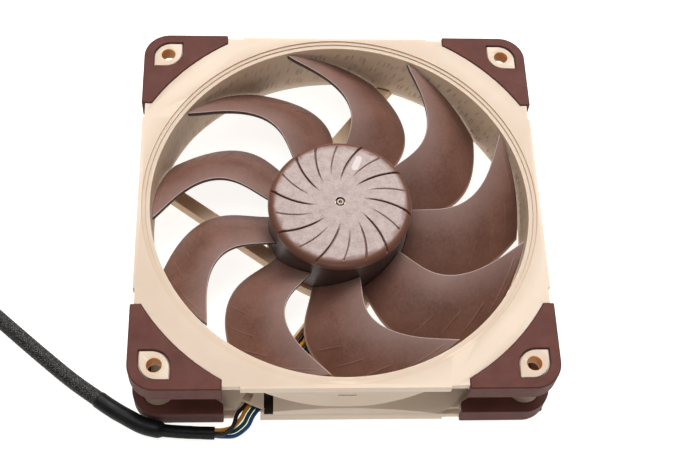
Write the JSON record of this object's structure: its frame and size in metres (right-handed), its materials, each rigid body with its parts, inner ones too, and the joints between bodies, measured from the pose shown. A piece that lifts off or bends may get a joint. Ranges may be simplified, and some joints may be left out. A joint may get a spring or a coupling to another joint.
{
  "type": "case fan",
  "caption": "Square axial cooling fan with swept blades, a grooved hub, soft corner pads and a sleeved lead ending in a small plug.",
  "frame": {"origin": "centre of the outlet side, on the surface the fan lies on", "axes": "+Z is the rotor axis and points out of the inlet side; +X and +Y run along the sides, and the lead leaves the -Y side near its -X end"},
  "size_m": [0.2091, 0.1333, 0.025],
  "materials": {
    "housing_plastic": "satin moulded",
    "pad_silicone": "soft matte",
    "impeller_plastic": "satin moulded, faintly frosted",
    "brass_part": "turned",
    "sintered_bronze": "sintered, oily",
    "steel": "drawn",
    "lamination_steel": "stacked",
    "insulator_plastic": "moulded",
    "winding_copper": "enamelled",
    "board_green": "solder mask",
    "chip_black": "moulded",
    "component_tan": "ceramic",
    "label_film": "blank film",
    "wire_black": "insulated",
    "wire_yellow": "insulated",
    "wire_green": "insulated",
    "wire_blue": "insulated",
    "shrink_black": "satin",
    "braid_black": "braided",
    "lead_black": "insulated",
    "connector_black": "moulded",
    "terminal_tin": "tinned",
    "ferrite": "bonded ferrite",
    "clip_plastic": "moulded"
  },
  "bodies": {
    "housing": {"inlet_flange": "housing_plastic", "tunnel_wall": "housing_plastic", "outlet_flange": "housing_plastic", "motor_mount": "housing_plastic", "strut_1": "housing_plastic", "strut_2": "housing_plastic", "strut_3": "housing_plastic", "wire_strut": "housing_plastic", "bearing_shell": "brass_part", "bearing_sleeve": "sintered_bronze", "thrust_plate": "steel", "stator_core": "lamination_steel", "insulator_upper": "insulator_plastic", "insulator_lower": "insulator_plastic", "coil_1": "winding_copper", "coil_2": "winding_copper", "coil_3": "winding_copper", "coil_4": "winding_copper", "circuit_board": "board_green", "driver_chip": "chip_black", "hall_sensor": "chip_black", "board_components": "component_tan", "rear_label": "label_film", "pad_front_1": "pad_silicone", "pad_front_2": "pad_silicone", "pad_front_3": "pad_silicone", "pad_front_4": "pad_silicone", "pad_rear_1": "pad_silicone", "pad_rear_2": "pad_silicone", "pad_rear_3": "pad_silicone", "pad_rear_4": "pad_silicone", "wire_black": "wire_black", "wire_yellow": "wire_yellow", "wire_green": "wire_green", "wire_blue": "wire_blue", "heat_shrink": "shrink_black", "cable_sleeve": "braid_black", "connector_shrink": "shrink_black", "connector_leads": "lead_black", "connector_housing": "connector_black", "connector_terminals": "terminal_tin"},
    "rotor": {"impeller": "impeller_plastic", "rotor_yoke": "steel", "ring_magnet": "ferrite", "shaft_insert": "brass_part", "shaft": "steel", "shaft_clip": "clip_plastic"}
  },
  "joints": [
    {"name": "rotor_spin", "type": "hinge", "parent": "housing", "child": "rotor", "pos_m": [0, 0, 0.0125], "axis": [0, 0, 1], "continuous": true}
  ]
}
